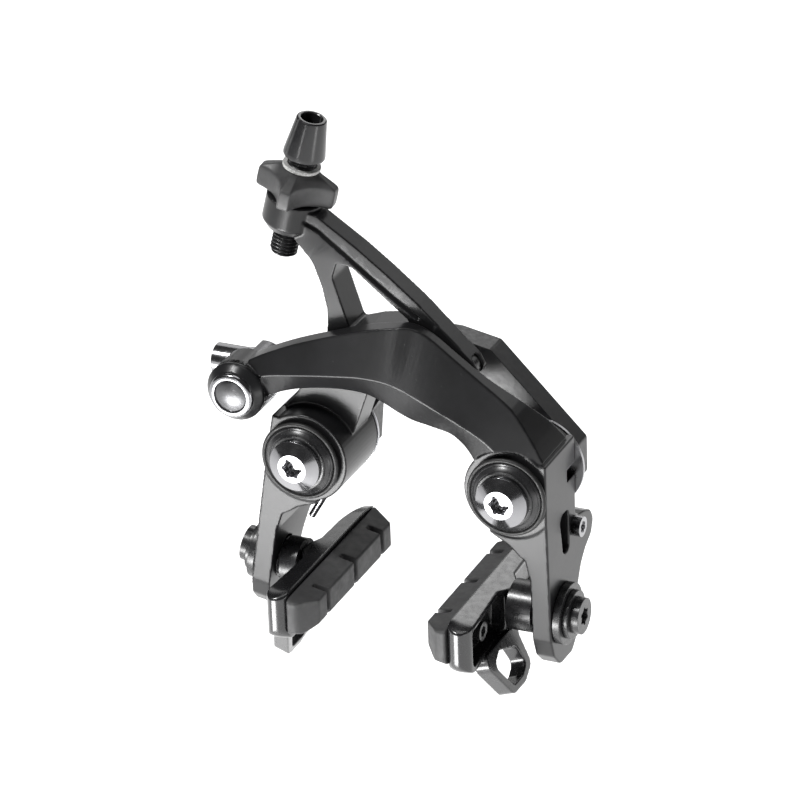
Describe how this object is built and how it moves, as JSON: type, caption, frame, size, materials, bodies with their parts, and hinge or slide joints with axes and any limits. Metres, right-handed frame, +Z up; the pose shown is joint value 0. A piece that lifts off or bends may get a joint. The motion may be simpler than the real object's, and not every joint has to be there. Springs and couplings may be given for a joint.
{
  "type": "rim brake caliper",
  "caption": "Direct-mount dual-pivot bicycle rim brake caliper: arched rear bridge, crossed black arms, cable adjuster with star knob, cable anchor and long rubber pads.",
  "frame": {"origin": "midway between the two mounting bolts, on the rear mounting face", "axes": "+X to the right seen from the front, +Y back into the frame, +Z up"},
  "size_m": [0.1, 0.0568, 0.1464],
  "materials": {
    "anodised_black": "forged aluminium, satin black anodised",
    "bridge_black": "machined aluminium, satin black anodised",
    "polished_steel": "polished stainless steel",
    "brushed_steel": "turned stainless steel",
    "black_steel": "black oxide steel, satin",
    "spring_steel": "drawn spring steel",
    "pad_rubber": "matte brake rubber compound",
    "seal_rubber": "nitrile rubber",
    "holder_black": "gloss black lacquered aluminium",
    "knob_plastic": "moulded nylon, fine matte texture",
    "ring_plastic": "pale acetal ring",
    "cone_black": "satin black anodised"
  },
  "bodies": {
    "bridge": {"rear_bridge": "bridge_black", "left_mounting_bolt": "polished_steel", "left_collar": "black_steel", "left_collar_seal": "seal_rubber", "left_bushing": "brushed_steel", "left_thrust_washer": "brushed_steel", "right_mounting_bolt": "polished_steel", "right_collar": "black_steel", "right_collar_seal": "seal_rubber", "right_bushing": "brushed_steel", "right_thrust_washer": "brushed_steel"},
    "right_arm": {"right_arm": "anodised_black", "cam_plate": "brushed_steel", "anchor_bush": "polished_steel", "right_return_spring": "spring_steel"},
    "left_arm": {"left_arm": "anodised_black", "roller_pin": "brushed_steel", "left_return_spring": "spring_steel"},
    "roller": {"cam_roller": "black_steel"},
    "cable_anchor": {"anchor_trunnion": "brushed_steel"},
    "clamp": {"clamp_screw": "polished_steel", "clamp_washer": "brushed_steel"},
    "knob": {"star_knob": "knob_plastic", "knob_ring": "ring_plastic"},
    "barrel": {"adjuster_barrel": "black_steel", "adjuster_cone": "cone_black"},
    "left_tension": {"left_tension_screw": "polished_steel"},
    "left_pad_bolt": {"left_pad_bolt": "black_steel", "left_ball_washer": "black_steel", "left_outer_washer": "black_steel", "left_head_washer": "black_steel"},
    "left_pad": {"left_pad_holder": "holder_black", "left_brake_pad": "pad_rubber", "left_pad_screw": "black_steel", "left_seat_washer": "black_steel"},
    "right_tension": {"right_tension_screw": "polished_steel"},
    "right_pad_bolt": {"right_pad_bolt": "black_steel", "right_ball_washer": "black_steel", "right_outer_washer": "black_steel", "right_head_washer": "black_steel"},
    "right_pad": {"right_pad_holder": "holder_black", "right_brake_pad": "pad_rubber", "right_pad_screw": "black_steel", "right_seat_washer": "black_steel"}
  },
  "joints": [
    {"name": "right_arm_pivot", "type": "hinge", "parent": "bridge", "child": "right_arm", "pos_m": [0.028, -0.0175, 0], "axis": [0, 1, 0], "range_deg": [-3, 8], "stiffness_Nm_per_rad": 1.5, "deforming": ["right_return_spring"]},
    {"name": "left_arm_pivot", "type": "hinge", "parent": "bridge", "child": "left_arm", "pos_m": [-0.028, -0.0175, 0], "axis": [0, 1, 0], "range_deg": [-8, 3], "stiffness_Nm_per_rad": 1.5, "deforming": ["left_return_spring"]},
    {"name": "roller_spin", "type": "hinge", "parent": "left_arm", "child": "roller", "pos_m": [0.0133, -0.0175, 0.0282], "axis": [0, 1, 0], "continuous": true},
    {"name": "anchor_swivel", "type": "hinge", "parent": "right_arm", "child": "cable_anchor", "pos_m": [-0.0444, -0.0262, 0.0172], "axis": [0, 1, 0], "range_deg": [-25, 25]},
    {"name": "clamp_turn", "type": "hinge", "parent": "cable_anchor", "child": "clamp", "pos_m": [-0.05, -0.0156, 0.018], "axis": [1, 0, 0], "range_deg": [-180, 180]},
    {"name": "knob_turn", "type": "hinge", "parent": "left_arm", "child": "knob", "pos_m": [-0.031, -0.016, 0.07093], "axis": [0.2504, 0, 0.9681], "range_deg": [0, 1441]},
    {"name": "barrel_travel", "type": "slide", "parent": "left_arm", "child": "barrel", "axis": [0.2504, 0, 0.9681], "range_m": [0, 0.004]},
    {"name": "left_tension_turn", "type": "hinge", "parent": "left_arm", "child": "left_tension", "pos_m": [-0.04054, -0.0094, -0.01346], "axis": [-0.9836, 0, 0.1805], "range_deg": [-180, 180]},
    {"name": "left_pad_height", "type": "slide", "parent": "left_arm", "child": "left_pad_bolt", "axis": [0.1805, 0, 0.9836], "range_m": [-0.0033, 0.0033]},
    {"name": "left_pad_angle", "type": "hinge", "parent": "left_pad_bolt", "child": "left_pad", "pos_m": [-0.03455, -0.0172, -0.0357], "axis": [-0.9836, 0, 0.1805], "range_deg": [-6, 6]},
    {"name": "right_tension_turn", "type": "hinge", "parent": "right_arm", "child": "right_tension", "pos_m": [0.0379, -0.0094, -0.0155], "axis": [1, 0, 0], "range_deg": [-180, 180]},
    {"name": "right_pad_height", "type": "slide", "parent": "right_arm", "child": "right_pad_bolt", "axis": [0, 0, 1], "range_m": [-0.0033, 0.0033]},
    {"name": "right_pad_angle", "type": "hinge", "parent": "right_pad_bolt", "child": "right_pad", "pos_m": [0.028, -0.0172, -0.0363], "axis": [1, 0, 0], "range_deg": [-6, 6]}
  ],
  "couplings": [
    {"joint": "left_arm_pivot", "follows": "right_arm_pivot", "ratio": -1},
    {"joint": "knob_turn", "follows": "barrel_travel", "rad_per_m": 6283.2}
  ]
}
